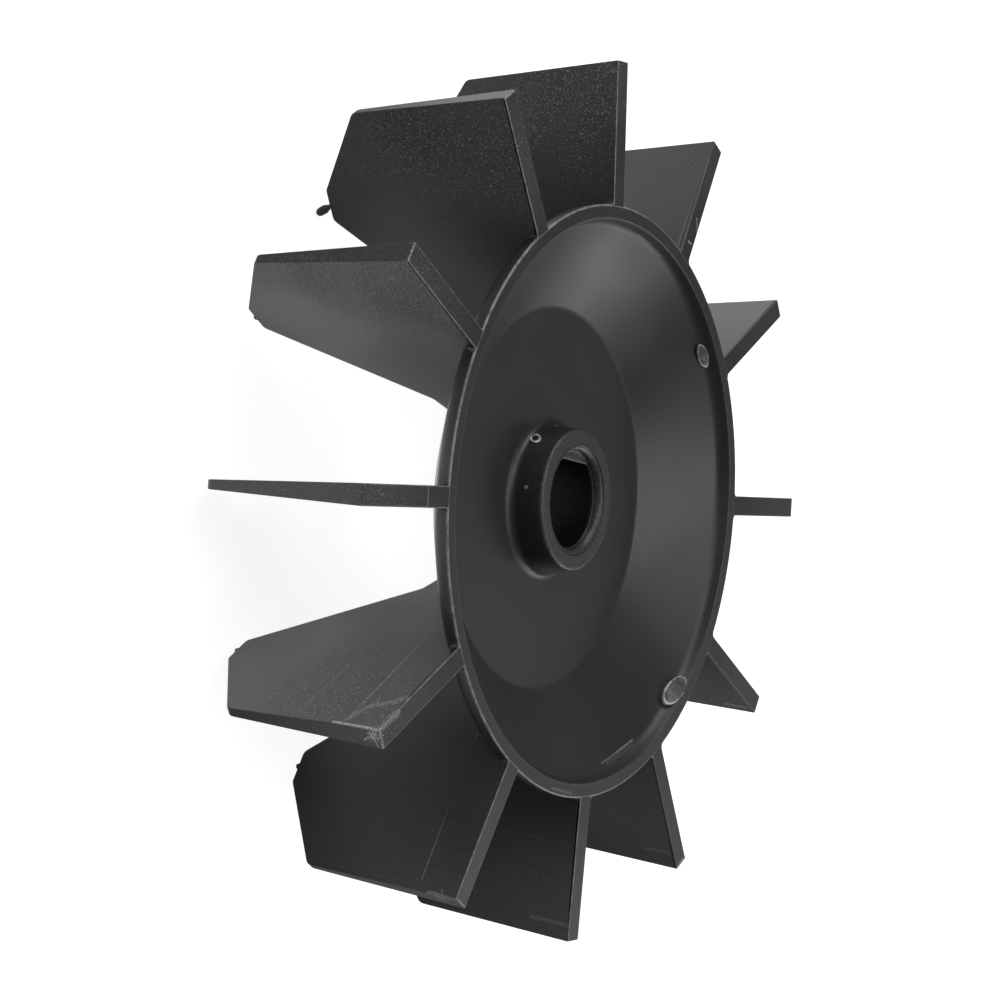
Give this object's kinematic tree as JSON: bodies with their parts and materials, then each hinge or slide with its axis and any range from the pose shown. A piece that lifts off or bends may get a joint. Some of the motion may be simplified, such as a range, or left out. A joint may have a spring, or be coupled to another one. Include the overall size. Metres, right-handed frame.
{
  "type": "fan wheel",
  "caption": "Moulded radial fan wheel for a small motor: straight blades on a dished plate, with a hub bored for a shaft with one flat.",
  "frame": {"origin": "on the axis of the bore, in the plane that the wheel lies on (the low end of the longest nib under the blades)", "axes": "+Z along the axis of the bore towards the open side of the dish, +Y along the first blade, +X a quarter turn clockwise from it seen from the front"},
  "size_m": [0.135, 0.135, 0.0393],
  "materials": {
    "black_plastic": "satin"
  },
  "bodies": {
    "root": {"fan_wheel": "black_plastic"}
  },
  "joints": []
}
